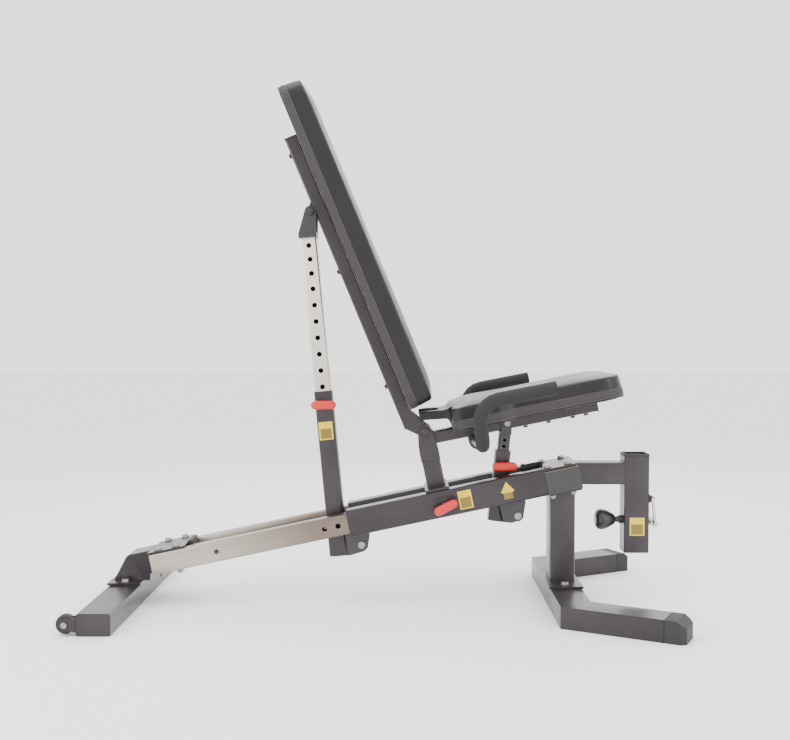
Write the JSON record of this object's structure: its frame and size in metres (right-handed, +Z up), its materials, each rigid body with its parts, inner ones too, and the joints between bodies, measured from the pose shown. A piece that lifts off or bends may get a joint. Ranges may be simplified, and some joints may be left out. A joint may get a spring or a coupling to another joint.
{
  "type": "adjustable weight bench",
  "caption": "Adjustable exercise bench: a sliding seat and tilting back on a sloped twin-rail beam, with pin-locked struts, side handles, wheels and a front attachment receiver.",
  "frame": {"origin": "on the floor, under the middle of the bench's box and on its long mid-plane", "axes": "+X along the bench towards the front foot and the receiver, -Y the side with the pull grips, +Z up"},
  "size_m": [1.384, 0.7696, 1.2582],
  "materials": {
    "frame_paint": "satin",
    "black_paint": "satin",
    "brushed_steel": "brushed",
    "zinc": "satin",
    "chrome": "polished",
    "rubber": "matte",
    "black_plastic": "matte",
    "black_vinyl": "grained",
    "grip_foam": "matte",
    "red_grip": "satin"
  },
  "bodies": {
    "base": {"rear_crossbar": "frame_paint", "wheel_bracket_near": "frame_paint", "wheel_bracket_far": "frame_paint", "wheel_axle_near": "zinc", "wheel_axle_far": "zinc", "rear_neck": "frame_paint", "rear_top_plate": "frame_paint", "rear_foot_bolt_near": "zinc", "rear_foot_bolt_far": "zinc", "rear_clamp_bolt_1": "zinc", "rear_clamp_bolt_2": "zinc", "rear_clamp_bolt_3": "zinc", "rear_clamp_bolt_4": "zinc", "rear_bumper": "rubber", "rail_near": "brushed_steel", "rail_far": "brushed_steel", "rail_cover_near": "frame_paint", "rail_cover_far": "frame_paint", "sled_lock_base": "frame_paint", "front_saddle": "black_paint", "front_top_plate": "frame_paint", "front_clamp_bolt_1": "zinc", "front_clamp_bolt_2": "zinc", "front_clamp_bolt_3": "zinc", "front_clamp_bolt_4": "zinc", "front_bumper": "rubber", "front_post": "frame_paint", "front_foot": "frame_paint", "front_cap_near": "rubber", "front_cap_far": "rubber", "front_foot_bolt_near": "zinc", "front_foot_bolt_far": "zinc", "front_arm": "frame_paint", "receiver_rim": "rubber", "pull_knob_bush": "black_paint"},
    "sled": {"sled_frame": "black_paint", "mid_post": "frame_paint", "main_pivot_bolt": "zinc", "ladder_foot_bolt": "zinc", "strut_foot_bolt": "zinc"},
    "back": {"back_frame": "frame_paint", "back_pad": "black_vinyl"},
    "ladder_inner": {"ladder_tube": "brushed_steel", "ladder_head_bolt": "zinc"},
    "ladder_outer": {"ladder_sleeve": "frame_paint"},
    "ladder_pin": {"ladder_lock_grip": "red_grip"},
    "seat": {"seat_frame": "frame_paint", "seat_pad": "black_vinyl", "handle_bar": "black_paint", "handle_grip_near": "grip_foam", "handle_grip_far": "grip_foam"},
    "strut_inner": {"strut_tube": "black_paint", "strut_head_bolt": "zinc"},
    "strut_outer": {"strut_sleeve": "frame_paint"},
    "strut_pin": {"strut_lock_grip": "red_grip"},
    "sled_pin": {"sled_lock_grip": "red_grip"},
    "receiver_pin": {"pull_knob": "black_plastic"},
    "carry_bail": {"carry_handle": "chrome"},
    "near_wheel": {"wheel_near": "rubber"},
    "far_wheel": {"wheel_far": "rubber"}
  },
  "joints": [
    {"name": "sled_slide", "type": "slide", "parent": "base", "child": "sled", "axis": [-0.9781, 0, -0.2079], "range_m": [0, 0.285]},
    {"name": "back_hinge", "type": "hinge", "parent": "sled", "child": "back", "pos_m": [0.11893, 0, 0.41964], "axis": [0, 1, 0], "range_deg": [-67.5, 13]},
    {"name": "seat_hinge", "type": "hinge", "parent": "sled", "child": "seat", "pos_m": [0.11893, 0, 0.41964], "axis": [0, 1, 0], "range_deg": [-10, 11.4]},
    {"name": "ladder_hinge", "type": "hinge", "parent": "back", "child": "ladder_inner", "pos_m": [-0.15834, 0, 0.95315], "axis": [0, 1, 0], "range_deg": [-3.4, 17.5]},
    {"name": "ladder_slide", "type": "slide", "parent": "ladder_inner", "child": "ladder_outer", "axis": [-0.0936, 0, 0.9956], "range_m": [-0.06, 0.3095]},
    {"name": "ladder_pin_pull", "type": "slide", "parent": "ladder_outer", "child": "ladder_pin", "axis": [0, -1, 0], "range_m": [0, 0.012], "stiffness_N_per_m": 400, "springref_m": -0.004},
    {"name": "strut_hinge", "type": "hinge", "parent": "seat", "child": "strut_inner", "pos_m": [0.31949, 0, 0.43938], "axis": [0, 1, 0], "range_deg": [-9.4, 8.3]},
    {"name": "strut_slide", "type": "slide", "parent": "strut_inner", "child": "strut_outer", "axis": [0.1115, 0, 0.9938], "range_m": [-0.0365, 0.0413]},
    {"name": "strut_pin_pull", "type": "slide", "parent": "strut_outer", "child": "strut_pin", "axis": [0, -1, 0], "range_m": [0, 0.012], "stiffness_N_per_m": 400, "springref_m": -0.004},
    {"name": "sled_pin_pull", "type": "slide", "parent": "base", "child": "sled_pin", "axis": [0, -1, 0], "range_m": [0, 0.012], "stiffness_N_per_m": 400, "springref_m": -0.004},
    {"name": "receiver_pin_pull", "type": "slide", "parent": "base", "child": "receiver_pin", "axis": [-1, 0, 0], "range_m": [0, 0.012], "stiffness_N_per_m": 400, "springref_m": -0.004},
    {"name": "carry_handle_swing", "type": "hinge", "parent": "base", "child": "carry_bail", "pos_m": [0.6735, 0, 0.255], "axis": [0, -1, 0], "range_deg": [0, 90]},
    {"name": "near_wheel_spin", "type": "hinge", "parent": "base", "child": "near_wheel", "pos_m": [-0.6705, -0.3112, 0.0245], "axis": [0, 1, 0], "continuous": true},
    {"name": "far_wheel_spin", "type": "hinge", "parent": "base", "child": "far_wheel", "pos_m": [-0.6705, 0.3112, 0.0245], "axis": [0, 1, 0], "continuous": true}
  ],
  "couplings": [
    {"joint": "ladder_hinge", "follows": "back_hinge", "ratio": -0.2576},
    {"joint": "ladder_slide", "follows": "back_hinge", "m_per_rad": -0.2624},
    {"joint": "strut_hinge", "follows": "seat_hinge", "ratio": -0.8177},
    {"joint": "strut_slide", "follows": "seat_hinge", "m_per_rad": 0.2068}
  ]
}
